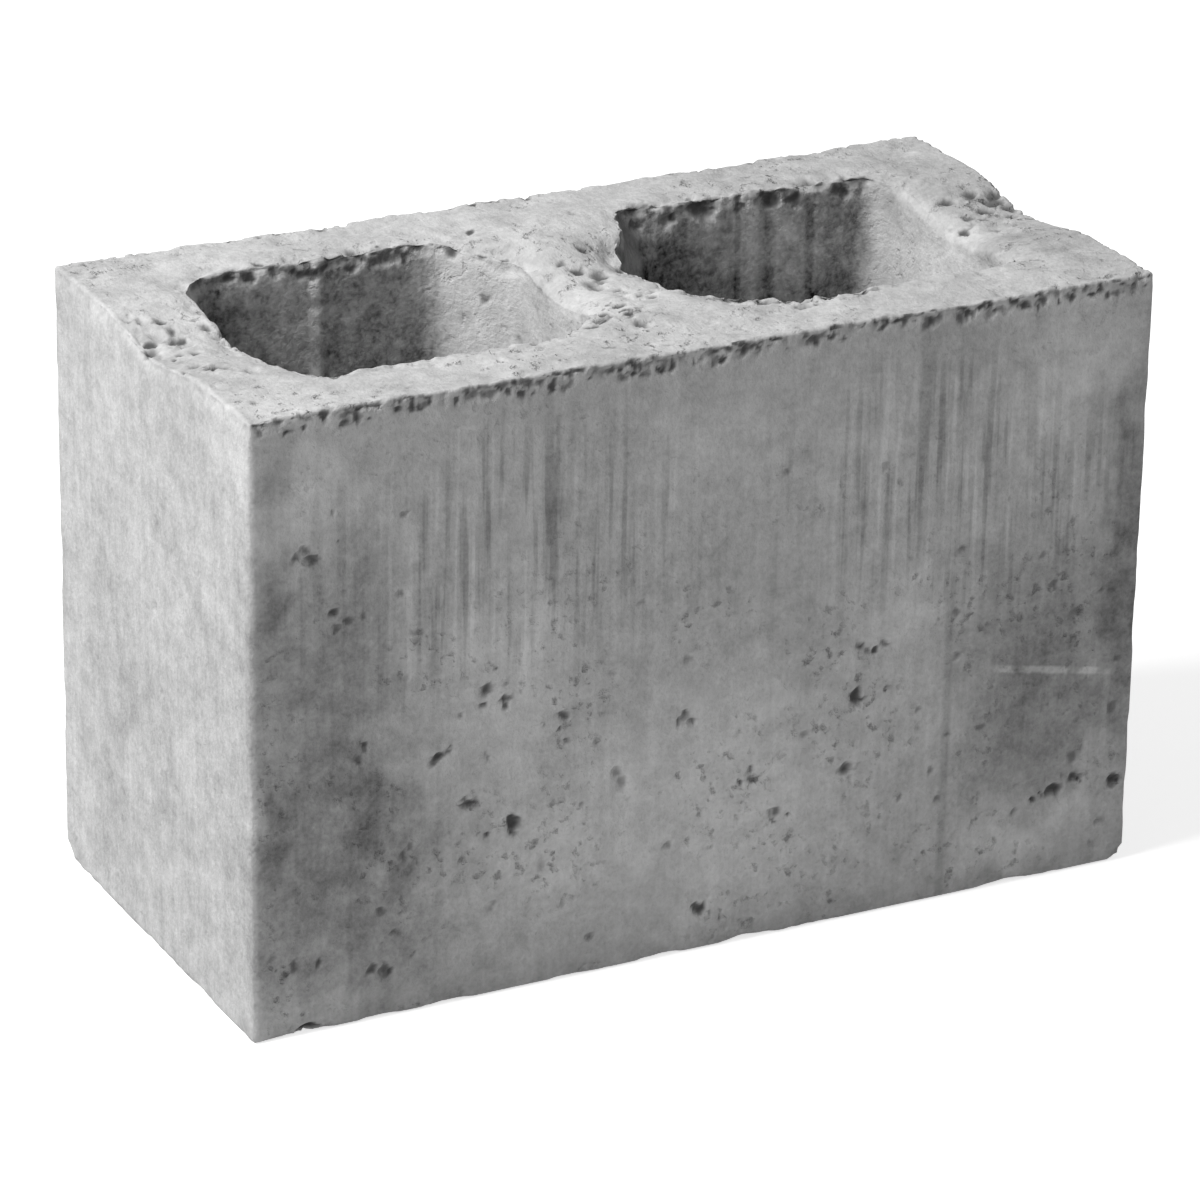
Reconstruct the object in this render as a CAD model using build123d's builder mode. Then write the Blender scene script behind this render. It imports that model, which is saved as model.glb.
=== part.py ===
"""Hollow two-cell concrete block, pressed in one piece, standing on its bed face.

The frame is in millimetres: +X runs along the block, +Y from the front face to the back face, +Z up.
The origin is the middle of the bed face that the block stands on.
"""

import os

from build123d import *

# Block as pressed in the mould box
block_length = 290.0
block_width = 140.0
block_height = 190.0

# Walls, measured at the top, where the cells are widest
face_shell = 27.0
end_wall = 28.0
cross_web = 32.0

# Cells, left by two tapered cores: the web flares out into the face shells, and the end corners are round
web_flare = 20.0
flare_radius = 9.0
end_corner_radius = 11.0
core_draft = 0.6

# Cross walls sag between the face shells, in a saddle that starts a little inside the cells' sides
saddle_depth = 4.5
saddle_margin = 7.0

# Worn edges
corner_radius = 3.0
bottom_edge_radius = 1.5
top_edge_radius = 2.5
cell_lip_radius = 3.0

cell_length = (block_length - 2 * end_wall - cross_web) / 2
cell_width = block_width - 2 * face_shell
cell_middle = (cell_length + cross_web) / 2

half_width = block_width / 2
saddle_half_width = cell_width / 2 - saddle_margin
saddle_rim = (saddle_half_width, block_height)
saddle_turn = (saddle_half_width / 2, block_height - saddle_depth / 2)
saddle_bottom = (0, block_height - saddle_depth)


def mirrored(point):
    """The same point of the end elevation, on the other side of the block's middle plane."""
    return (-point[0], point[1])


def top_rim(edges):
    """Edges round the uneven top, without the lines along the block where the saddle's arcs meet."""
    reach = saddle_half_width + saddle_margin / 2
    seams = edges.filter_by(Axis.X).filter_by_position(Axis.Y, -reach, reach)
    return edges.filter_by_position(Axis.Z, block_height - 2 * saddle_depth, block_height + 1) - seams


with BuildPart() as cores:
    # Core of the right-hand cell: its walls lean in towards the bottom, so that it draws out at the top
    with BuildSketch() as plan:
        with Locations((cell_middle, 0)):
            Rectangle(cell_length, cell_width)
        chamfer(plan.vertices().sort_by(Axis.X)[:2], web_flare)
        fillet(plan.vertices().sort_by(Axis.X)[:4], flare_radius)
        fillet(plan.vertices().sort_by(Axis.X)[-2:], end_corner_radius)
    extrude(amount=block_height)
    draft(cores.faces().filter_by(Axis.Z, reverse=True), Plane.XY.offset(block_height), -core_draft)
    mirror(about=Plane.YZ)

with BuildPart() as block:
    # End elevation: an upright rectangle whose top dips in three tangent arcs, run along the block
    with BuildSketch(Plane.YZ):
        with BuildLine():
            Polyline(
                saddle_rim,
                (half_width, block_height),
                (half_width, 0),
                (-half_width, 0),
                (-half_width, block_height),
                mirrored(saddle_rim),
            )
            TangentArc(mirrored(saddle_rim), mirrored(saddle_turn), tangent=(1, 0))
            ThreePointArc(mirrored(saddle_turn), saddle_bottom, saddle_turn)
            TangentArc(saddle_rim, saddle_turn, tangent=(-1, 0))
        make_face()
    extrude(amount=block_length / 2, both=True)

    # Worn outer edges: the four upright corners, then the rim of each bed face
    fillet(block.edges().filter_by(Axis.Z), corner_radius)
    fillet(block.faces().sort_by(Axis.Z)[0].edges(), bottom_edge_radius)
    fillet(top_rim(block.edges()), top_edge_radius)

    # Two cells right through the block, with worn lips at the top
    add(cores.part, mode=Mode.SUBTRACT)
    fillet(top_rim(block.edges(Select.LAST)), cell_lip_radius)
    block.part.label = "concrete_block"

os.makedirs("parts", exist_ok=True)
export_step(block.part, "parts/concrete_block.step")
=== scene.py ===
"""Hollow concrete block on a plain pale floor, laid out as an add-on and run as a script.

Everything is in metres in the block's own frame: +X along the block, +Y to the back, +Z up.
The origin is the middle of the bed face that the block stands on.
"""

import math
import random

import bmesh
import bpy
import numpy as np
from bpy.props import FloatProperty, FloatVectorProperty, IntProperty, PointerProperty
from bpy.types import Operator, Panel, PropertyGroup
from mathutils import Matrix, Vector, kdtree, noise


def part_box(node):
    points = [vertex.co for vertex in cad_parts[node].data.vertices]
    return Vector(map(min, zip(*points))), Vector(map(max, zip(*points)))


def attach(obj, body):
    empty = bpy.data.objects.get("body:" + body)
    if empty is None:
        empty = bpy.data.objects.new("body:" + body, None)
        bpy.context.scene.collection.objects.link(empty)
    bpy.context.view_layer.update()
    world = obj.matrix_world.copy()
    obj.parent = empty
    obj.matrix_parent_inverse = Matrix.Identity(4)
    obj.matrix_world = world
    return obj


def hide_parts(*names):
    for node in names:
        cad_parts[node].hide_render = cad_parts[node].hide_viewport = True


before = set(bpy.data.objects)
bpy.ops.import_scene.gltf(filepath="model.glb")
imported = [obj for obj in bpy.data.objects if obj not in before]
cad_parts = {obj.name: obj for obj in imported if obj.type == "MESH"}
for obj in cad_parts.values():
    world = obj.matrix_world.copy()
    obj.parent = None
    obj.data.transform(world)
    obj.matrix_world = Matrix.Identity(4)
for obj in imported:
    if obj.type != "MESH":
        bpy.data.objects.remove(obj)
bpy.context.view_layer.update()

bl_info = {
    "name": "Hollow Concrete Block",
    "version": (1, 0, 0),
    "blender": (4, 5, 0),
    "location": "View3D > Sidebar > Block",
    "description": "Models a weathered hollow concrete block and sets it on a plain floor",
    "category": "Add Mesh",
}

LOW, HIGH = (Vector(corner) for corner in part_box("concrete_block"))

# Millimetres in a metre
MM = 1000.0

# Lengths closer than this, in metres, count as the same
SAME = 1e-5

# Camera: sensor in mm, and nearest and furthest view in metres
SENSOR, CLIP_START, CLIP_END = 36.0, 0.05, 50.0


class BlockSize(PropertyGroup):
    """Sizes of the block as it leaves the mould."""

    length: FloatProperty(
        name="Length", description="Along the block", default=HIGH.x - LOW.x, min=0.1, unit="LENGTH")
    width: FloatProperty(
        name="Width", description="From the front face to the back face", default=HIGH.y - LOW.y, min=0.05,
        unit="LENGTH")
    height: FloatProperty(
        name="Height", description="From the bed face to the top", default=HIGH.z - LOW.z, min=0.05,
        unit="LENGTH")
    face_shell: FloatProperty(
        name="Face shell", description="Thickness of the long walls at the top", default=0.027, unit="LENGTH")
    end_wall: FloatProperty(
        name="End wall", description="Thickness of the ends at the top", default=0.028, unit="LENGTH")
    cross_web: FloatProperty(
        name="Cross web", description="Thickness of the wall between the cells at the top", default=0.032,
        unit="LENGTH")
    web_flare: FloatProperty(
        name="Web flare", description="Reach of the slants by which the web widens into the face shells",
        default=0.020, unit="LENGTH")
    flare_radius: FloatProperty(
        name="Flare radius", description="Rounding where the slants meet the cells' walls", default=0.009,
        unit="LENGTH")
    end_corner: FloatProperty(
        name="End corner", description="Radius of the cells' upright corners at the ends", default=0.011,
        unit="LENGTH")
    core_draft: FloatProperty(
        name="Core draft", description="Lean of the cells' walls", default=math.radians(0.6), subtype="ANGLE")
    saddle_depth: FloatProperty(
        name="Saddle depth", description="Sag of the cross walls between the face shells", default=0.0045,
        unit="LENGTH")
    saddle_reach: FloatProperty(
        name="Saddle reach", description="Distance from the middle at which the sag begins", default=0.036,
        unit="LENGTH")
    arris: FloatProperty(
        name="Arris", description="Rounding of the outer edges", default=0.0013, unit="LENGTH")


class BlockWear(PropertyGroup):
    """Crumbling, voids and chips of the surface."""

    seed: IntProperty(name="Seed", description="Start of the random placing", default=7, min=1)
    grain: FloatProperty(
        name="Grain", description="Coarsest spacing of the mesh that the wear is worked into", default=0.0034,
        unit="LENGTH")
    lumps: FloatProperty(
        name="Lumps", description="Unevenness of the tamped top", default=0.0016, unit="LENGTH")
    crumbs: FloatProperty(
        name="Crumbs", description="Depth between the loose crumbs of the top", default=0.0028, unit="LENGTH")
    chips: FloatProperty(
        name="Chips", description="Wear of the bottom and upright edges", default=0.0012, unit="LENGTH")


class ConcreteFinish(PropertyGroup):
    """Colours of the concrete, and of the painted shade in its voids."""

    paste: FloatVectorProperty(
        name="Paste", description="Plain colour of the concrete", default=(0.50, 0.50, 0.50), subtype="COLOR")
    # Painted shade: the colour at the bottom of a void
    void: FloatVectorProperty(
        name="Void", description="Colour at the bottom of a void", default=(0.09, 0.09, 0.09),
        subtype="COLOR")
    mottle: FloatProperty(
        name="Mottle", description="Strength of the cloudy patches", default=0.32, subtype="FACTOR")
    streak: FloatProperty(
        name="Streak", description="Strength of the upright mould streaks", default=0.28, subtype="FACTOR")
    sand: FloatProperty(
        name="Sand", description="Strength of the sandy speckle", default=0.26, subtype="FACTOR")


class StageSetup(PropertyGroup):
    """Floor, lamp, sky and camera."""

    floor_size: FloatProperty(name="Floor", description="Side of the floor", default=12.0, unit="LENGTH")
    floor_shade: FloatProperty(
        name="Floor shade", description="Grey of the floor", default=0.72, subtype="FACTOR")
    floor_glow: FloatProperty(
        name="Floor glow", description="White that the camera sees over the floor's own grey", default=0.70)
    sky: FloatProperty(name="Sky", description="Strength of the even light all round", default=0.27)
    key: FloatProperty(
        name="Key", description="Power of the soft lamp on the left", default=36.0, unit="POWER")
    key_height: FloatProperty(
        name="Key height", description="Height of the soft lamp above the horizon",
        default=math.radians(50.0), subtype="ANGLE")
    key_swing: FloatProperty(
        name="Key swing", description="Turn of the soft lamp towards the back", default=math.radians(4.0),
        subtype="ANGLE")
    key_distance: FloatProperty(
        name="Key distance", description="From the block to the soft lamp", default=1.8, unit="LENGTH")
    key_size: FloatProperty(name="Key size", description="Side of the soft lamp", default=0.75, unit="LENGTH")
    eye: FloatVectorProperty(
        name="Eye", description="Place of the camera", default=(-0.73958, -1.42312, 0.76611), unit="LENGTH")
    heading: FloatProperty(
        name="Heading", description="Camera's turn about the upright", default=math.radians(-27.46),
        subtype="ANGLE")
    drop: FloatProperty(
        name="Drop", description="Camera's view below the horizon", default=math.radians(23.02),
        subtype="ANGLE")
    roll: FloatProperty(
        name="Roll", description="Camera's turn about its view", default=math.radians(0.98), subtype="ANGLE")
    lens: FloatProperty(
        name="Lens", description="Focal length on a 36 mm square sensor, in mm", default=174.9)


# Modelling helpers

def pick(kind, test):
    """Selects the faces, edges or vertices of the mesh in edit mode whose corners all pass the test."""
    bpy.ops.mesh.select_mode(type=kind)
    bpy.ops.mesh.select_all(action="DESELECT")
    mesh = bpy.context.edit_object.data
    form = bmesh.from_edit_mesh(mesh)
    parts = {"VERT": form.verts, "EDGE": form.edges, "FACE": form.faces}[kind]
    found = 0
    for part in parts:
        corners = [part.co] if kind == "VERT" else [v.co for v in part.verts]
        if test(corners):
            part.select_set(True)
            found += 1
    bmesh.update_edit_mesh(mesh)
    if not found:
        raise RuntimeError("nothing to select on the block")


def near(a, b):
    """True where two lengths are the same within a hundredth of a millimetre."""
    return abs(a - b) < SAME


def step(start, end, values):
    """Smooth ramp from 0 at start to 1 at end."""
    ramp = np.clip((values - start) / (end - start), 0, 1)
    return ramp * ramp * (3 - 2 * ramp)


def noise_at(points, grain, shift=0.0):
    """Smooth noise from -1 to 1 whose lumps are about one grain wide."""
    return np.array([noise.noise(p) for p in (points / grain + shift).tolist()])


def crumbs_at(points, grain, shift=0.0):
    """0 on the crown of each rounded crumb, rising to 1 in the gaps between crumbs."""
    places = (points / grain + shift).tolist()
    reach = np.array([noise.voronoi(p)[0][0] for p in places])
    return 1 - np.sqrt(np.clip(1 - (reach / 0.85) ** 2, 0, 1))


# Block

def block_out(size):
    """Clean block: a cube at its size, with two tapered cells opened through it and its edges rounded."""
    half_x, half_y, top = size.length / 2, size.width / 2, size.height
    inner, outer = size.cross_web / 2, half_x - size.end_wall
    side = half_y - size.face_shell

    bpy.ops.object.select_all(action="DESELECT")
    bpy.ops.mesh.primitive_cube_add(size=1, location=(0, 0, top / 2))
    block = bpy.context.object
    block.name = block.data.name = "worn_concrete_block"
    bpy.ops.transform.resize(value=(size.length, size.width, size.height))
    bpy.ops.object.transform_apply(location=True, rotation=True, scale=True)
    bpy.ops.object.mode_set(mode="EDIT")

    # Lines of the cells on the bed faces
    for place in (-outer, -inner, inner, outer):
        bpy.ops.mesh.select_all(action="SELECT")
        bpy.ops.mesh.bisect(plane_co=(place, 0, 0), plane_no=(1, 0, 0))
    for place in (-side, side):
        bpy.ops.mesh.select_all(action="SELECT")
        bpy.ops.mesh.bisect(plane_co=(0, place, 0), plane_no=(0, 1, 0))

    def in_cell(corner):
        return inner - SAME < abs(corner.x) < outer + SAME and abs(corner.y) < side + SAME

    # Cells opened through, narrowed at the bottom and rounded at their upright corners
    lean = top * math.tan(size.core_draft)
    middle = (inner + outer) / 2
    for hand in (-1, 1):
        def on_hand(corners):
            return all(in_cell(c) and c.x * hand > 0 for c in corners)

        pick("FACE", on_hand)
        bpy.ops.mesh.delete(type="FACE")
        pick("EDGE", lambda corners: on_hand(corners) and near(corners[0].z, corners[1].z))
        bpy.ops.mesh.bridge_edge_loops()
        pick("VERT", lambda corners: on_hand(corners) and near(corners[0].z, 0))
        bpy.ops.transform.resize(
            value=(1 - 2 * lean / (outer - inner), 1 - lean / side, 1),
            center_override=(hand * middle, 0, 0))
    setback = size.flare_radius * math.tan(math.pi / 8)
    for nearest, furthest, offset, segments in (
            (0, middle, size.web_flare, 1), (0, middle, setback, 4), (middle, half_x, size.end_corner, 8)):
        pick("EDGE", lambda corners: all(in_cell(c) and nearest < abs(c.x) < furthest for c in corners)
             and not near(corners[0].z, corners[1].z))
        bpy.ops.mesh.bevel(offset=offset, segments=segments, affect="EDGES", clamp_overlap=False)

    # Outer arrises
    def faces_met(corners):
        return sum(all(near(abs(c[axis] - centre), reach) for c in corners)
                   for axis, centre, reach in ((0, 0, half_x), (1, 0, half_y), (2, top / 2, top / 2)))

    pick("EDGE", lambda corners: faces_met(corners) > 1)
    bpy.ops.mesh.bevel(offset=size.arris, segments=3, affect="EDGES", clamp_overlap=False)
    bpy.ops.object.mode_set(mode="OBJECT")
    return block


# Wear, in millimetres

# Large voids of the front: place along and up, reach along and up, and depth
FRONT_VOIDS = (
    (-126, 146, 2.6, 1.8, 1.2), (-115, 126, 2.2, 1.8, 1.0), (-72, 97, 2.6, 2.0, 1.4),
    (-66, 93, 1.7, 2.6, 1.4), (-47, 84, 1.9, 1.8, 1.2), (-8, 77, 1.7, 2.0, 1.2), (-88, 78, 1.9, 1.9, 1.0),
    (-77, 62, 3.2, 2.0, 1.6), (-63, 53, 2.6, 3.6, 2.2), (-112, 83, 2.1, 1.7, 1.0), (-98, 50, 2.0, 2.0, 1.0),
    (-105, 34, 2.0, 1.8, 1.0), (-104, 15, 1.9, 2.2, 1.2), (-132, 22, 2.0, 2.2, 1.2), (49, 72, 2.2, 3.4, 2.0),
    (52, 86, 1.9, 1.9, 1.0), (46, 49, 2.6, 1.9, 1.4), (15, 52, 2.4, 1.8, 1.2), (23, 40, 1.8, 1.8, 1.0),
    (-1, 13, 1.9, 2.4, 1.6), (119, 28, 3.2, 2.3, 1.9), (126, 31, 3.0, 2.1, 1.7), (140, 27, 2.9, 2.3, 1.9),
    (-128, 1, 3.5, 2.4, 2.6))

# Small dark voids of the front: place along and up, and reach
FRONT_DOTS = (
    (124, 86, 2.2), (123, 77, 1.9), (111, 106, 1.9), (115, 96, 1.9), (139, 68, 2.1), (138, 52, 2.3),
    (92, 54, 1.8), (125, 38, 2.6), (70, 64, 1.6), (83, 79, 2.0), (82, 93, 1.8), (81, 54, 1.8), (65, 36, 1.7),
    (78, 33, 1.9), (75, 43, 1.7), (105, 23, 1.7))

# Knocked bottom corners: place, reach and depth
KNOCKED_CORNERS = ((145, -70, 5, 1.6), (-145, 70, 5, 1.8), (145, 70, 6, 2.4))

# Large pits of the web and the far end, then of the near end: place and reach
TOP_PITS = (
    (-6, 17, 2.4), (-3, 13, 2.8), (3, 7, 2.4), (-20, -34, 2.6), (-24, -39, 2.2), (1, -6, 2.6), (-8, -25, 2.4),
    (4, 23, 2.2), (125, 18, 3.2), (135, 20, 2.8), (134, 9, 3.4), (127, 7, 2.8), (142, 17, 3.2), (142, 8, 3.4),
    (121, -1, 2.4), (128, -6, 2.2))
NEAR_END_PITS = ((-133, 20, 2.6), (-140, 9, 2.6), (-131, 8, 2.2), (-132, -4, 2.4))

# Dots on the slanted wall between the left-hand cell's back and the web: place and reach
SLANT_DOTS = (
    (-32, 39, 187, 2.4), (-25, 32, 187, 2.4), (-20, 27, 187, 2.0), (-24, 31, 174, 2.0), (-28, 35, 166, 2.6),
    (-17, 24, 162, 2.4))

# Loose spots of the top: place and reach along and across, and strength
OPEN_SPOTS = (
    (-137, 8, 11, 15, 0.9), (0, 4, 5, 10, 0.35), (134, 8, 9, 16, 0.5), (2, -16, 7, 9, 0.5),
    (25, -34, 10, 9, 1.0), (42, -46, 13, 5, 0.9), (-15, -34, 7, 6, 0.8), (-136, -22, 9, 9, 0.6),
    (14, 16, 6, 14, 0.7), (66, 45, 46, 3, 0.6), (-66, 45, 46, 3, 0.6))

# Bands that are divided finely: first the skin of the faces that show and the top, then what crumbles
SHOWN_SKIN, SHOWN_TOP = 5, 20
LIP_TOP, LIP_SIDE, ARRIS_SIDE, VOID_SIDE, LOOSE_SPOT = 8, 6, 3, 2.6, 0.3

# Lips: rubbing all round and where it is worst, its reach from the cell, and how far down the sag fades out
RUBBED, RUBBED_MORE, RUBBED_REACH, SAG_FADE = 0.8, 2.2, 11, 40

# Torn lip beside the web, and the broken back corner next to it: place and reach, then depth, shift and fade
TORN_BACK, TORN_SPOT, TORN_DEPTH = 3, (18, 7, 10), 5.0
BROKEN_SPOT, BROKEN_SHIFT, BROKEN_FADE = (29, 40, 10, 9), (-4.5, 6.5), 18

# Core marks of the cells' back walls: a raised seam and fine grooves, each with half its width and its height
SEAM, SEAM_HALF, SEAM_HEIGHT = -73, 1.8, 0.8
GROOVES, GROOVE_HALF, GROOVE_DEPTH = (67.5, 78, 92), 1.6, 0.5

# Cells' walls: rounding beside the web, and the skin that counts as their lining
WEB_CORNER, LINING = 0.5, 2.6

# Most that the surface is raised, and sunk
MOST_RAISED, MOST_SUNK = 0.8, 4.2


def half_sizes(size):
    """Half the block's length, half its width, and its height."""
    return size.length * MM / 2, size.width * MM / 2, size.height * MM


def from_cells(points, size):
    """Distance of each point outside the cells' walls, below zero inside them."""
    inner, outer = size.cross_web * MM / 2, (size.length / 2 - size.end_wall) * MM
    half_x, half_y = (outer - inner) / 2, (size.width / 2 - size.face_shell) * MM
    along = np.abs(points[:, 0]) - (inner + outer) / 2
    across = np.abs(points[:, 1])
    corner = np.where(along < 0, WEB_CORNER, size.end_corner * MM)
    over_x = np.abs(along) - half_x + corner
    over_y = across - half_y + corner
    plain = (np.hypot(np.maximum(over_x, 0), np.maximum(over_y, 0))
             + np.minimum(np.maximum(over_x, over_y), 0) - corner)
    return np.maximum(plain, (across - half_y + size.web_flare * MM - along - half_x) / math.sqrt(2))


def saddle(across, size):
    """Sag of the cross walls, over the distance from the block's middle plane."""
    reach = size.saddle_reach * MM
    return size.saddle_depth * MM * (0.5 + 0.5 * np.cos(np.pi * np.clip(across / reach, -1, 1)))


def spot(x, y, place_x, place_y, reach_x, reach_y):
    """1 in the middle of a soft spot, fading to 0 round it."""
    return np.exp(-((x - place_x) / reach_x) ** 2 - ((y - place_y) / reach_y) ** 2)


def open_spots(points):
    """Strength of the loose spots of the top at each point."""
    found = np.zeros(len(points))
    for *place_and_reach, strength in OPEN_SPOTS:
        found = np.maximum(found, strength * spot(points[:, 0], points[:, 1], *place_and_reach))
    return found


def plan_voids(size, wear):
    """Middle, reach, depth and darkness of each void: the large ones listed, the rest strewn."""
    half_x, half_y, height = half_sizes(size)
    side = half_y - size.face_shell * MM
    rng = random.Random(wear.seed)
    voids = []
    # The darkness of each void is painted shade, strongest in its middle
    for place_x, place_z, wide, high, depth in FRONT_VOIDS:
        voids.append(((place_x, -half_y, place_z), (1.1 * wide, 3.0, 1.1 * high), depth, 0.45 + 0.25 * depth))
    for place_x, place_y, wide, depth in KNOCKED_CORNERS:
        voids.append(((place_x, place_y, 0), (wide, wide, wide), depth, 0.3))

    def strew(number, place, smallest, largest, deep, dark):
        """Adds voids at random places, with the least and most reach, and shares for depth and for the
        darkness of their painted shade.
        """
        for _ in range(number):
            wide = smallest + (largest - smallest) * rng.random() ** 2
            reach = [wide * rng.uniform(0.7, 1.4) for _ in range(3)]
            voids.append((place(), reach, deep * wide * rng.uniform(0.7, 1.2), dark * rng.uniform(0.4, 1.1)))

    # Outer faces: a few high up, more in the lower half
    def up_face(crowding):
        return 6 + 170 * rng.random() ** crowding

    for hand in (-1, 1):
        strew(60, lambda: (rng.uniform(-140, 140), hand * half_y, up_face(1.6)), 1.2, 2.2, 0.6, 0.5)
        strew(26, lambda: (hand * half_x, rng.uniform(-66, 66), up_face(1.3)), 1.0, 1.8, 0.5, 0.4)

    # Pitted upper edges of the outer faces, fewest at the near end
    def under_edge():
        return height - 0.4 - 5.0 * rng.random() ** 1.7

    for hand, number in ((-1, 340), (1, 260)):
        strew(number, lambda: (rng.uniform(-144, 144), hand * half_y, under_edge()), 1.0, 2.1, 0.5, 0.95)
    strew(110, lambda: (half_x, rng.uniform(-68, 68), under_edge()), 1.0, 2.1, 0.5, 0.9)
    strew(30, lambda: (-half_x, rng.uniform(-68, 68), under_edge()), 0.9, 1.4, 0.6, 0.4)

    # Top: large pits, loose spots, face shells and back arris
    def on_top(place_x, place_y):
        return place_x, place_y, height - 0.6 - float(saddle(place_y, size))

    def on_shell():
        return on_top(rng.uniform(-140, 140), rng.choice((-1, 1)) * rng.uniform(48, 68))

    for place_x, place_y, wide in TOP_PITS:
        voids.append((on_top(place_x, place_y), (wide, 0.9 * wide, wide), 0.65 * wide, 0.95))
    for place_x, place_y, reach_x, reach_y, strength in OPEN_SPOTS:
        def in_spot():
            return on_top(place_x + reach_x * rng.gauss(0, 0.55), place_y + reach_y * rng.gauss(0, 0.55))

        strew(int(26 * strength), in_spot, 1.0, 3.4, 0.7, 0.95)
    strew(60, on_shell, 0.9, 1.8, 0.6, 0.6)
    strew(44, lambda: on_top(rng.uniform(-142, 142), half_y - 0.3 - 2.2 * rng.random()), 1.1, 2.2, 0.6, 1.0)

    # Torn front lip of the right-hand cell, along the flare of the web
    def on_flare():
        run = rng.uniform(14, 66)
        return on_top(run, max(-side, -run - 7) + rng.uniform(-4, 1))

    strew(34, on_flare, 1.1, 3.2, 0.7, 0.75)

    # Cells: teeth of the back lips, then voids of the back walls, the far walls and the web
    def on_back_lip(hand):
        return hand * rng.uniform(30, 112), side, height - 1.5 - 4.5 * rng.random() ** 1.6

    def on_back_wall(hand):
        return hand * rng.uniform(36, 108), side, height * rng.uniform(0.3, 0.97)

    def on_far_wall(hand):
        return hand * 66 + 50, rng.uniform(-20, 30), height * rng.uniform(0.6, 0.97)

    for hand in (-1, 1):
        strew(46, lambda: on_back_lip(hand), 1.6, 3.5, 0.45, 1.0)
        strew(45, lambda: on_back_wall(hand), 1.2, 2.4, 0.4, 0.5)
        strew(14, lambda: on_far_wall(hand), 1.1, 2.2, 0.5, 0.5)
    strew(40, lambda: (15, rng.uniform(-24, 30), height - 4 - 9 * rng.random()), 1.4, 3.0, 0.6, 0.8)

    # Front: small voids beside the large ones, and dots
    for place_x, place_z, *_ in FRONT_VOIDS:
        def beside():
            return place_x + rng.gauss(0, 4.5), -half_y, place_z + rng.gauss(0, 3)

        strew(3, beside, 0.9, 2.0, 0.7, 0.9)
    for place_x, place_z, wide in FRONT_DOTS:
        voids.append(((place_x, -half_y, place_z), (wide, 2.0, wide), 0.35 * wide, 0.6))

    # Ragged near and front lips of the left-hand cell, and the pits and dots beside it
    strew(26, lambda: on_top(rng.uniform(-121, -115), rng.uniform(-36, 40)), 1.0, 2.8, 0.7, 0.5)
    strew(34, lambda: on_top(rng.uniform(-112, -30), -side + rng.uniform(-3, 1.5)), 1.0, 2.6, 0.7, 0.5)
    for place_x, place_y, wide in NEAR_END_PITS:
        voids.append((on_top(place_x, place_y), (wide, wide, wide), 0.6 * wide, 1.0))
    for *place, wide in SLANT_DOTS:
        voids.append((tuple(place), (wide, wide, wide), 0.35 * wide, 0.8))
    return voids


def refine(block, size, wear, voids):
    """Remeshes the clean block evenly, then divides it finely where it shows most and where it crumbles."""
    half_x, half_y, height = half_sizes(size)
    block.data.remesh_voxel_size = wear.grain
    block.data.remesh_voxel_adaptivity = 0
    bpy.ops.object.voxel_remesh()

    def divide(wanted):
        mesh = block.data
        middles = np.empty(len(mesh.polygons) * 3)
        mesh.polygons.foreach_get("center", middles)
        marked = wanted(middles.reshape(-1, 3) * MM)
        bpy.ops.object.mode_set(mode="EDIT")
        bpy.ops.mesh.select_mode(type="FACE")
        bpy.ops.mesh.select_all(action="DESELECT")
        form = bmesh.from_edit_mesh(mesh)
        form.faces.ensure_lookup_table()
        for index in np.flatnonzero(marked).tolist():
            form.faces[index].select_set(True)
        bmesh.update_edit_mesh(mesh)
        bpy.ops.mesh.subdivide(number_cuts=1, smoothness=1.0)
        bpy.ops.object.mode_set(mode="OBJECT")

    tree = kdtree.KDTree(len(voids))
    for index, void in enumerate(voids):
        tree.insert(void[0], index)
    tree.balance()

    def showing(p):
        skin = (p[:, 1] < SHOWN_SKIN - half_y) | (p[:, 0] < SHOWN_SKIN - half_x)
        return skin | (p[:, 2] > height - SHOWN_TOP)

    def crumbling(p):
        high_up = p[:, 2] > height - LIP_TOP
        beside_cell = from_cells(p, size) < LIP_SIDE
        arris = (half_y - np.abs(p[:, 1]) < ARRIS_SIDE) | (half_x - np.abs(p[:, 0]) < ARRIS_SIDE)
        by_void = np.array([tree.find(place)[2] < VOID_SIDE for place in p.tolist()])
        return (high_up & (beside_cell | arris | (open_spots(p) > LOOSE_SPOT))) | (by_void & showing(p))

    divide(showing)
    divide(crumbling)


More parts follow.
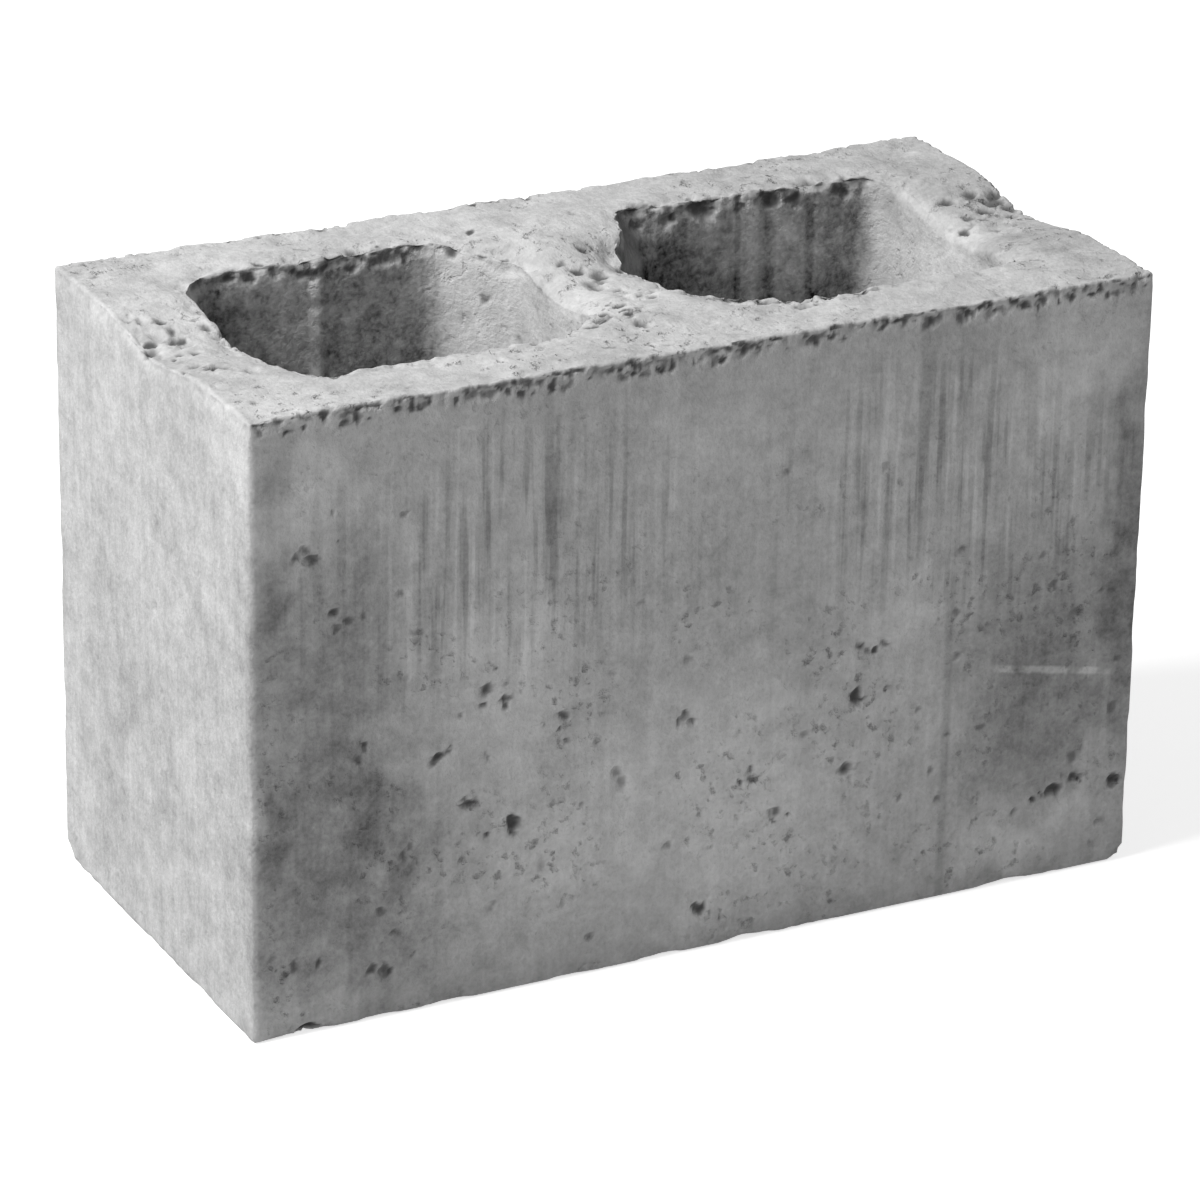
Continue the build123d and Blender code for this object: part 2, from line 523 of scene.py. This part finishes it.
def wear_down(block, size, wear, voids):
    """Works the sag, lumps, crumbs, voids and chips into the fine mesh, inwards from the mould's faces."""
    mesh = block.data
    count = len(mesh.vertices)
    points = np.empty(count * 3)
    mesh.vertices.foreach_get("co", points)
    points = points.reshape(-1, 3) * MM
    facing = np.empty(count * 3)
    mesh.vertex_normals.foreach_get("vector", facing)
    facing = facing.reshape(-1, 3)
    half_x, half_y, height = half_sizes(size)
    inner = size.cross_web * MM / 2
    outwards = from_cells(points, size)

    # Outer edges set true again after the remeshing, with a small radius
    radius = size.arris * MM
    middle = np.array((0, 0, height / 2))
    inset = np.maximum(np.abs(points - middle) - np.array((half_x, half_y, height / 2)) + radius, 0)
    length = np.linalg.norm(inset, axis=1)
    out = (radius - length) * (length > 0.2 * radius) * (outwards > 4)
    points += np.sign(points - middle) * inset * (out / np.maximum(length, 1e-6))[:, None]
    x, y, z = points.T.copy()
    depth_down = height - z

    # Sag of the cross walls, their rubbed lips and the torn lip beside the web, eased out down the walls
    sag = saddle(y, size)
    by_web, far_end = step(-44, -24, x) * step(4, -4, x), step(88, 108, x)
    rubbed = RUBBED + RUBBED_MORE * np.maximum(by_web, far_end)
    sag += rubbed * np.clip(1 - outwards / RUBBED_REACH, 0, 1) ** 2 * step(48, 30, np.abs(y))
    sag += TORN_DEPTH * spot(x, y, inner - TORN_BACK, *TORN_SPOT)
    points[:, 2] -= sag * np.clip(1 - depth_down / SAG_FADE, 0, 1)

    # Back corner of the right-hand cell beside the web, broken out towards the back
    broken = spot(x, y, *BROKEN_SPOT) * np.clip(1 - depth_down / BROKEN_FADE, 0, 1)
    points[:, 0] += BROKEN_SHIFT[0] * broken
    points[:, 1] += BROKEN_SHIFT[1] * broken

    z = points[:, 2]
    lining = (outwards < LINING) & (depth_down > 0.5) & (z > 0.5)
    outside = (~lining) & (np.hypot(facing[:, 0], facing[:, 1]) > 0.5)
    wobble = noise_at(points, 9.0)
    sink = 0.08 + 0.08 * noise_at(points, 30.0)
    # Painted shade on the broken corner where it faces the front, away from the lamp
    dark = 0.9 * broken * step(-0.2, -0.5, facing[:, 1]) * step(0.75, 0.4, facing[:, 2])

    # Tamped top: low lumps all over, loose crumbs along the ragged lips and in the open spots
    on_top = step(6.0, 1.0, depth_down + 2.5 * wobble)
    lip = step(7.0, 0.5, outwards) * (depth_down < 12)
    clean_lip = ((facing[:, 0] > 0.35) & (x < 0)) | (facing[:, 0] < -0.15)
    spots = open_spots(points)
    loose = np.clip(0.06 + 0.9 * spots + np.where(clean_lip, 0.0, 0.45) * lip, 0, 1)
    lumps = np.zeros(count)
    crumbs = np.zeros(count)
    upper = np.flatnonzero(depth_down < SHOWN_TOP)
    high = points[upper]
    lumps[upper] = 0.30 - 0.7 * noise_at(high, 13.0, 3.7) - 0.30 * noise_at(high, 4.5, 6.1)
    crumbs[upper] = 0.65 * crumbs_at(high, 5.4, 1.3) + 0.35 * crumbs_at(high, 3.0, 8.1)
    kept = 1 - 0.7 * step(130, 141, x)
    sink += on_top * kept * (wear.lumps * MM * lumps + wear.crumbs * MM * loose * crumbs)
    # Painted shade in the gaps between the loose crumbs of the ragged lips and the open spots
    dark += on_top * np.clip(spots + 0.3 * lip - 0.2, 0, 1) * np.clip(crumbs - 0.5, 0, 1) * 0.9

    # Bottom and upright arrises
    bitten = np.clip(noise_at(points, 13.0, 5.5) + 0.35 * noise_at(points, 4.0, 2.2) + 0.1, 0, 1)
    rim = step(6.0, 0.5, z + 2.0 * wobble) * (outside | (facing[:, 2] < -0.3)) * (outwards > 8)
    edge = 0.45 * step(6.0, 1.0, np.hypot(half_x - np.abs(x), half_y - np.abs(y)))
    sink += wear.chips * MM * bitten * np.maximum(rim, edge)

    # Voids: irregular hollows, bent by noise that starts from the seed, so that each run is the same, and
    # darkened with painted shade that is strongest in their middles
    noise.seed_set(wear.seed)
    warped = points + 1.2 * np.array([noise.noise_vector(p) for p in (points / 2.6).tolist()])
    warped += 0.5 * np.array([noise.noise_vector(p) for p in (points / 1.1).tolist()])
    along = np.argsort(warped[:, 0])
    stations = warped[along, 0]
    for middle, reach, depth, darkness in voids:
        first, last = np.searchsorted(stations, (middle[0] - reach[0], middle[0] + reach[0]))
        near_by = along[first:last]
        near_by = near_by[(np.abs(warped[near_by] - middle) < reach).all(axis=1)]
        away = (((warped[near_by] - middle) / reach) ** 2).sum(axis=1)
        bowl = np.clip(1 - away, 0, 1) ** 0.8
        sink[near_by] = np.maximum(sink[near_by], depth * bowl + 0.6 * sink[near_by])
        dark[near_by] = np.maximum(dark[near_by], bowl * darkness)

    # Core marks down the cells' back walls
    back = lining & (facing[:, 1] < -0.8)
    sink -= SEAM_HEIGHT * back * np.exp(-((x - SEAM) / SEAM_HALF) ** 2)
    for groove in GROOVES:
        sink += GROOVE_DEPTH * back * np.exp(-((x - groove) / GROOVE_HALF) ** 2)

    points -= facing * np.clip(sink, -MOST_RAISED, MOST_SUNK)[:, None]
    points[:, 0] = np.clip(points[:, 0], -half_x, half_x)
    points[:, 1] = np.clip(points[:, 1], -half_y, half_y)
    points[:, 2] = np.clip(points[:, 2], 0, height)
    mesh.vertices.foreach_set("co", (points / MM).ravel())
    # Painted shade of the voids, of the gaps between crumbs and of the broken corner, kept as a mesh
    # attribute for the colour
    hollow_shade = mesh.attributes.new("hollow_shade", "FLOAT", "POINT")
    hollow_shade.data.foreach_set("value", np.clip(dark, 0, 1).astype(np.float32))
    mesh.update()


class BLOCK_OT_concrete_block(Operator):
    """Model the worn block in place of its plain solid"""

    bl_idname = "mesh.concrete_block_add"
    bl_label = "Concrete Block"

    def execute(self, context):
        size = context.scene.block_size
        wear = context.scene.block_wear
        voids = plan_voids(size, wear)
        block = block_out(size)
        refine(block, size, wear, voids)
        wear_down(block, size, wear, voids)
        bpy.ops.object.shade_smooth()
        block.data.materials.clear()
        block.data.materials.append(concrete(context.scene.concrete_finish))
        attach(block, "root")
        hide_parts("concrete_block")
        return {"FINISHED"}


# Concrete, in millimetres

# Paler and darker patches, first of the front, then of the near end, the web, the cells and the top: middle,
# reach and shade.
# The darkening over the whole near end and the top's far end is painted shade; the paled web top and
# lamp-facing cell walls are painted light
PATCHES_AND_PAINTED_LIGHT = (
    ((-124, -70, 166), (18, 20, 26), 0.20), ((114, -70, 166), (32, 20, 28), 0.24),
    ((-122, -70, 96), (34, 20, 80), -0.30), ((-112, -70, 42), (46, 20, 62), -0.36),
    ((112, -70, 66), (40, 20, 60), -0.28), ((-60, -70, 100), (34, 20, 34), 0.18),
    ((62, -70, 86), (30, 20, 44), 0.18), ((0, -70, 40), (75, 20, 60), 0.28),
    ((105, -70, 16), (26, 20, 14), 0.38), ((-117, -70, 8), (16, 20, 10), 0.18),
    ((-138, -74, 110), (8, 8, 110), -0.40), ((143, -70, 110), (11, 14, 100), -0.45),
    ((10, -70, 160), (90, 20, 30), 0.10), ((-145, -57, 172), (16, 14, 26), 0.08),
    ((-150, 0, 80), (24, 180, 220), -0.13), ((-18, 10, 175), (16, 40, 50), 0.02),
    ((117, 5, 175), (14, 40, 50), 0.20), ((128, 0, 190), (26, 90, 16), -0.17),
    ((-4, 0, 187), (24, 52, 14), 0.14))

# Painted shade at the ends of the cells' back walls, beside the walls and in the corners where shade falls:
# middle, reach and shade
CELL_PAINTED_SHADE = (
    ((-112, 43, 160), (28, 20, 80), -0.60), ((36, 43, 170), (26, 20, 60), -0.62),
    ((102, 43, 165), (18, 20, 60), -0.26))

# Lines down the cells' back walls: place, half width and shade. The pale line at -74 and the dark one at -70
# are painted light and painted shade on the two sides of the raised seam; the rest are paler and darker
# lines, three of them along the grooves
CORE_LINES_AND_PAINTED_SEAM_LIGHT = (
    (-74.0, 2.6, 0.40), (-70.0, 1.6, -0.16), (72.5, 3.0, 0.28), (78.5, 3.0, -0.34), (67.5, 1.6, -0.32),
    (92.5, 2.4, -0.36), (104.0, 7.0, -0.20))

# Mould line of the front, and the slope and the height of the scratch beyond it
MOULD_LINE, SCRATCH_SLOPE, SCRATCH_HEIGHT = 80.0, 0.2, 91.4

# How far the soft patches wander, and the depth of the fine relief
WANDER, RELIEF = 40.0, 1.0

# Sockets of a colour Mix node, which share their names with those of its other kinds
MIX_A, MIX_B, MIX_RESULT = 6, 7, 2


class Sheet:
    """Node tree being drawn, with short words for its nodes and links."""

    def __init__(self, tree):
        self.tree = tree

    def node(self, kind, inputs=(), **settings):
        """New node, each of whose inputs is linked to a socket or set to a value."""
        made = self.tree.nodes.new(kind)
        for key, value in settings.items():
            setattr(made, key, value)
        for key, value in dict(inputs).items():
            if isinstance(value, bpy.types.NodeSocket):
                self.tree.links.new(value, made.inputs[key])
            else:
                made.inputs[key].default_value = value
        return made

    def math(self, operation, *values):
        return self.node("ShaderNodeMath", dict(enumerate(values)), operation=operation).outputs[0]

    def vector(self, operation, *values):
        return self.node("ShaderNodeVectorMath", dict(enumerate(values)), operation=operation).outputs[0]

    def both(self, *masks):
        """Product of all the masks."""
        found, *others = masks
        for mask in others:
            found = self.math("MULTIPLY", found, mask)
        return found

    def shade(self, tone, mask, amount):
        """The tone, changed by the amount where the mask is 1."""
        return self.math("MULTIPLY_ADD", mask, amount, tone)

    def away(self, value, middle):
        """Distance of a value from a middle."""
        return self.math("ABSOLUTE", self.math("SUBTRACT", value, middle))

    def ramp(self, value, start, end, low=0.0, high=1.0):
        """Smooth ramp from low at the start to high at the end."""
        made = self.node(
            "ShaderNodeMapRange",
            {"Value": value, "From Min": start, "From Max": end, "To Min": low, "To Max": high},
            interpolation_type="SMOOTHSTEP")
        return made.outputs["Result"]

    def noise(self, vector, scale, detail, rough):
        given = {"Vector": vector, "Scale": scale, "Detail": detail, "Roughness": rough}
        return self.node("ShaderNodeTexNoise", given).outputs["Fac"]

    def stretch(self, vector, scale):
        return self.node("ShaderNodeMapping", {"Vector": vector, "Scale": scale}).outputs["Vector"]

    def seen(self):
        """1 for what the camera sees, straight or in a shine, and 0 for the light that falls on the block."""
        path = self.node("ShaderNodeLightPath").outputs
        found = self.math("MAXIMUM", path["Is Camera Ray"], path["Is Glossy Ray"])
        return self.math("MAXIMUM", found, path["Is Transmission Ray"])


def soft_patch():
    """Node group: 1 in the middle of a soft-edged patch and 0 outside it."""
    tree = bpy.data.node_groups.new("Soft patch", "ShaderNodeTree")
    for name in ("Place", "Middle", "Reach"):
        tree.interface.new_socket(name, in_out="INPUT", socket_type="NodeSocketVector")
    tree.interface.new_socket("Mask", in_out="OUTPUT", socket_type="NodeSocketFloat")
    draw = Sheet(tree)
    given = draw.node("NodeGroupInput").outputs
    share = draw.vector("DIVIDE", draw.vector("SUBTRACT", given["Place"], given["Middle"]), given["Reach"])
    length = draw.node("ShaderNodeVectorMath", {0: share}, operation="LENGTH").outputs["Value"]
    draw.node("NodeGroupOutput", {"Mask": draw.ramp(length, 1.0, 0.15)})
    return tree


def concrete(finish):
    """Dry-pressed concrete: cloudy paste, sandy speckle, upright mould streaks, voids darkened with painted
    shade, and painted light and shade on some walls and patches.
    """
    material = bpy.data.materials.new("Pressed concrete")
    material.use_nodes = True
    material.node_tree.nodes.clear()
    draw = Sheet(material.node_tree)
    place = draw.stretch(draw.node("ShaderNodeTexCoord").outputs["Object"], (MM, MM, MM))
    x, y, z = draw.node("ShaderNodeSeparateXYZ", {0: place}).outputs
    facing = draw.node("ShaderNodeNewGeometry").outputs["Normal"]
    facing_x, facing_y, facing_z = draw.node("ShaderNodeSeparateXYZ", {0: facing}).outputs

    # Upright surfaces, outer faces, the front, the cells' walls and their back walls
    upright = draw.ramp(draw.math("ABSOLUTE", facing_z), 0.6, 0.25)
    outer = draw.math("MAXIMUM", draw.ramp(draw.math("ABSOLUTE", y), 60.0, 63.0),
                      draw.ramp(draw.math("ABSOLUTE", x), 135.0, 138.0))
    on_front = draw.math("LESS_THAN", y, -66.0)
    in_cell = draw.both(upright, draw.math("SUBTRACT", 1.0, outer))
    on_back = draw.both(in_cell, draw.ramp(facing_y, -0.70, -0.93))

    # Cloudy paste and sand, strongest on the cells' back walls
    cloud = draw.noise(place, 0.022, 3.0, 0.55)
    mottle = draw.noise(place, 0.14, 3.0, 0.65)
    sand = draw.noise(place, 0.60, 3.0, 0.65)
    tone = 0.0
    for grain, strength in (
            (cloud, 1.6 * finish.mottle), (mottle, 2.4 * finish.mottle), (sand, 2.0 * finish.sand)):
        tone = draw.shade(tone, draw.math("SUBTRACT", grain, 0.5), strength)
    tone = draw.both(tone, draw.shade(1.0, on_back, 1.3))

    # Soft patches that wander a little
    patch = soft_patch()
    drift = draw.node("ShaderNodeTexNoise", {"Vector": place, "Scale": 0.05, "Detail": 2.0}).outputs["Color"]
    drift = draw.vector("SUBTRACT", drift, (0.5, 0.5, 0.5))
    wander = draw.vector("MULTIPLY_ADD", drift, (WANDER, WANDER, WANDER), place)

    def mask_at(middle, reach):
        given = {"Place": wander, "Middle": middle, "Reach": reach}
        return draw.node("ShaderNodeGroup", given, node_tree=patch).outputs["Mask"]

    # Upright streaks, gathered in two stretches of the front and faint under the upper arris
    thin = draw.noise(draw.stretch(place, (1, 1, 0.045)), 0.36, 2.0, 0.55)
    broad = draw.noise(draw.stretch(place, (1, 1, 0.06)), 0.12, 2.0, 0.5)
    gathered = draw.math(
        "MAXIMUM", mask_at((-64, -70, 138), (84, 30, 56)), mask_at((86, -70, 140), (84, 30, 60)))
    faint = draw.shade(draw.ramp(z, 188.0, 166.0, 0.3, 1.0), mask_at((120, -70, 178), (44, 30, 40)), -0.75)
    drawn = draw.math("SUBTRACT", draw.ramp(thin, 0.46, 0.28), draw.ramp(thin, 0.50, 0.66, 0.0, 1.3))
    drawn = draw.shade(drawn, draw.math("SUBTRACT", broad, 0.5), 1.8)
    streak = draw.both(
        drawn, draw.shade(0.15, gathered, 0.85), upright, draw.shade(0.2, outer, 0.8),
        draw.math("MAXIMUM", faint, 0.1))
    tone = draw.shade(tone, streak, finish.streak)

    # Patches, among them painted shade on the near end and the top's far end, and painted light on the web
    # top and lamp-facing cell walls
    for middle, reach, amount in PATCHES_AND_PAINTED_LIGHT:
        tone = draw.shade(tone, mask_at(middle, reach), amount)

    # Mould line on the front, the damper stretch beyond it and a scratch
    line = draw.both(draw.ramp(draw.away(x, MOULD_LINE), 2.2, 0.4), draw.ramp(z, 104.0, 92.0), on_front)
    tone = draw.shade(tone, line, -0.22)
    beyond = draw.both(
        draw.ramp(z, 124.0, 98.0), draw.ramp(z, 24.0, 46.0), draw.ramp(x, 77.0, 84.0), on_front)
    tone = draw.shade(tone, beyond, -0.13)
    rise = draw.math("MULTIPLY_ADD", x, SCRATCH_SLOPE, z)
    scratch = draw.both(
        draw.ramp(draw.away(rise, SCRATCH_HEIGHT), 1.7, 0.6), draw.ramp(x, 94.0, 100.0),
        draw.ramp(x, 138.0, 134.0), draw.ramp(mottle, 0.36, 0.54, 0.4, 1.2), on_front)
    tone = draw.shade(tone, scratch, 0.36)

    # Cells: painted shade lower down their back walls, where less light reaches, and darker beside the web
    tone = draw.shade(tone, draw.both(draw.ramp(z, 178.0, 146.0), on_back), -0.36)
    beside_web = draw.both(draw.ramp(x, -82.0, -52.0), draw.ramp(x, 0.0, -10.0), on_back)
    tone = draw.shade(tone, beside_web, -0.24)
    for middle, reach, amount in CELL_PAINTED_SHADE:
        tone = draw.shade(tone, draw.both(mask_at(middle, reach), on_back), amount)

    # Cells: painted light where the walls turn to face the lamp at the near end, painted shade on the web's
    # slant that turns away from it
    painted_light_turn = draw.both(
        draw.ramp(facing_x, -0.10, -0.40), draw.ramp(facing_x, -0.98, -0.75), draw.ramp(y, 8.0, 16.0),
        in_cell)
    tone = draw.shade(tone, painted_light_turn, 0.28)
    # Painted shade on the web's slant that faces away from the lamp
    painted_shade_slant = draw.both(
        draw.ramp(facing_x, 0.25, 0.60), draw.ramp(x, 2.0, 8.0), draw.ramp(x, 60.0, 46.0), in_cell)
    tone = draw.shade(tone, painted_shade_slant, -0.54)

    # Lines down the back walls, with painted light and painted shade beside the raised seam
    for middle, half, amount in CORE_LINES_AND_PAINTED_SEAM_LIGHT:
        mark = draw.ramp(draw.away(x, middle), half, half * 0.3)
        tone = draw.shade(tone, draw.both(mark, on_back), amount)

    # Pocks: soft dark blots in swarms, in the lower part of the outer faces and on the top, dimpled in the
    # relief; their darkening is painted shade
    blot = draw.noise(place, 0.27, 3.0, 0.6)
    swarm = draw.ramp(draw.noise(place, 0.03, 2.0, 0.5), 0.42, 0.62, 0.15, 1.0)
    low_down = draw.math(
        "MAXIMUM", draw.ramp(z, 150.0, 90.0, 0.4, 1.0), draw.ramp(facing_z, 0.4, 0.8, 0.0, 0.9))
    off_end = draw.ramp(x, -143.5, -141.0, 0.2, 1.0)
    pock = draw.both(draw.ramp(blot, 0.54, 0.76), swarm, low_down, off_end)

    # Colour, with painted shade darkest in the voids and the pocks
    hollow_shade = draw.node("ShaderNodeAttribute", attribute_name="hollow_shade").outputs["Fac"]
    dark = draw.math("MAXIMUM", draw.ramp(hollow_shade, 0.05, 0.9), draw.math("MULTIPLY", pock, 0.60))
    lit = draw.math("ADD", tone, 1.0)
    paste = draw.node(
        "ShaderNodeVectorMath", {0: finish.paste, "Scale": lit}, operation="SCALE").outputs["Vector"]
    colour = draw.node(
        "ShaderNodeMix", {"Factor": dark, MIX_A: paste, MIX_B: (*finish.void, 1.0)}, data_type="RGBA")

    # Fine relief
    height = draw.math("MULTIPLY", sand, 0.40)
    height = draw.shade(height, mottle, 0.32)
    height = draw.shade(height, pock, -0.8)
    bump = draw.node("ShaderNodeBump", {"Height": height, "Distance": RELIEF / MM, "Strength": 1.0})
    shader = draw.node(
        "ShaderNodeBsdfPrincipled",
        {"Base Color": colour.outputs[MIX_RESULT], "Roughness": draw.ramp(mottle, 0.2, 0.8, 0.86, 0.97),
         "Specular IOR Level": 0.25, "Normal": bump.outputs["Normal"]})
    draw.node("ShaderNodeOutputMaterial", {"Surface": shader.outputs["BSDF"]})
    return material


# Stage

def floor_finish(setup):
    """Pale floor that lights the block as plain grey, and that shows as white with a faint shadow."""
    material = bpy.data.materials.new("Pale floor")
    material.use_nodes = True
    material.node_tree.nodes.clear()
    draw = Sheet(material.node_tree)
    matt = draw.node("ShaderNodeBsdfDiffuse", {"Color": (setup.floor_shade,) * 3 + (1.0,)})
    glow = draw.node("ShaderNodeEmission", {"Strength": draw.math("MULTIPLY", draw.seen(), setup.floor_glow)})
    added = draw.node("ShaderNodeAddShader", {0: matt.outputs["BSDF"], 1: glow.outputs["Emission"]})
    draw.node("ShaderNodeOutputMaterial", {"Surface": added.outputs["Shader"]})
    return material


class BLOCK_OT_stage(Operator):
    """Set the floor, the soft light and the camera round the block"""

    bl_idname = "scene.concrete_block_stage"
    bl_label = "Stage"

    def execute(self, context):
        scene = context.scene
        setup = scene.block_stage
        scene.view_settings.view_transform = "Standard"

        bpy.ops.object.select_all(action="DESELECT")
        bpy.ops.mesh.primitive_plane_add(size=setup.floor_size, location=(0, 0, 0))
        floor = context.object
        floor.name = "pale_floor"
        floor.data.materials.append(floor_finish(setup))

        towards = Vector((
            -math.cos(setup.key_height) * math.cos(setup.key_swing),
            math.cos(setup.key_height) * math.sin(setup.key_swing),
            math.sin(setup.key_height)))
        middle = Vector((0, 0, scene.block_size.height / 2))
        bpy.ops.object.light_add(
            type="AREA", location=middle + towards * setup.key_distance,
            rotation=towards.to_track_quat("Z", "Y").to_euler())
        key = context.object
        key.name = "soft_key"
        key.data.energy = setup.key
        key.data.size = setup.key_size

        world = bpy.data.worlds.new("Even sky")
        world.use_nodes = True
        world.node_tree.nodes.clear()
        draw = Sheet(world.node_tree)
        strength = draw.ramp(draw.seen(), 0.0, 1.0, setup.sky, 1.0)
        sky = draw.node("ShaderNodeBackground", {"Color": (1, 1, 1, 1), "Strength": strength})
        draw.node("ShaderNodeOutputWorld", {"Surface": sky.outputs["Background"]})
        scene.world = world

        bpy.ops.object.camera_add()
        camera = context.object
        camera.name = "photo_camera"
        camera.data.sensor_fit = "HORIZONTAL"
        camera.data.sensor_width = SENSOR
        camera.data.lens = setup.lens
        camera.data.clip_start = CLIP_START
        camera.data.clip_end = CLIP_END
        right = Vector((math.cos(setup.heading), math.sin(setup.heading), 0))
        back = Vector((
            math.sin(setup.heading) * math.cos(setup.drop),
            -math.cos(setup.heading) * math.cos(setup.drop),
            math.sin(setup.drop)))
        up = back.cross(right)
        turned_right = right * math.cos(setup.roll) + up * math.sin(setup.roll)
        turned_up = up * math.cos(setup.roll) - right * math.sin(setup.roll)
        pose = Matrix((turned_right, turned_up, back)).transposed().to_4x4()
        pose.translation = Vector(setup.eye)
        camera.matrix_world = pose
        scene.camera = camera
        return {"FINISHED"}


class BLOCK_PT_sidebar(Panel):
    """Sizes, wear, finish and stage of the block"""

    bl_idname = "BLOCK_PT_sidebar"
    bl_label = "Concrete Block"
    bl_space_type = "VIEW_3D"
    bl_region_type = "UI"
    bl_category = "Block"

    def draw(self, context):
        layout = self.layout
        for group in ("block_size", "block_wear", "concrete_finish", "block_stage"):
            box = layout.box()
            settings = getattr(context.scene, group)
            for name in settings.__annotations__:
                box.prop(settings, name)
        layout.operator(BLOCK_OT_concrete_block.bl_idname)
        layout.operator(BLOCK_OT_stage.bl_idname)


CLASSES = (
    BlockSize, BlockWear, ConcreteFinish, StageSetup, BLOCK_OT_concrete_block, BLOCK_OT_stage,
    BLOCK_PT_sidebar)


def register():
    for cls in CLASSES:
        bpy.utils.register_class(cls)
    bpy.types.Scene.block_size = PointerProperty(type=BlockSize)
    bpy.types.Scene.block_wear = PointerProperty(type=BlockWear)
    bpy.types.Scene.concrete_finish = PointerProperty(type=ConcreteFinish)
    bpy.types.Scene.block_stage = PointerProperty(type=StageSetup)


def unregister():
    for name in ("block_size", "block_wear", "concrete_finish", "block_stage"):
        delattr(bpy.types.Scene, name)
    for cls in reversed(CLASSES):
        bpy.utils.unregister_class(cls)


def main():
    register()
    bpy.ops.mesh.concrete_block_add()
    bpy.ops.scene.concrete_block_stage()


if __name__ == "__main__":
    main()
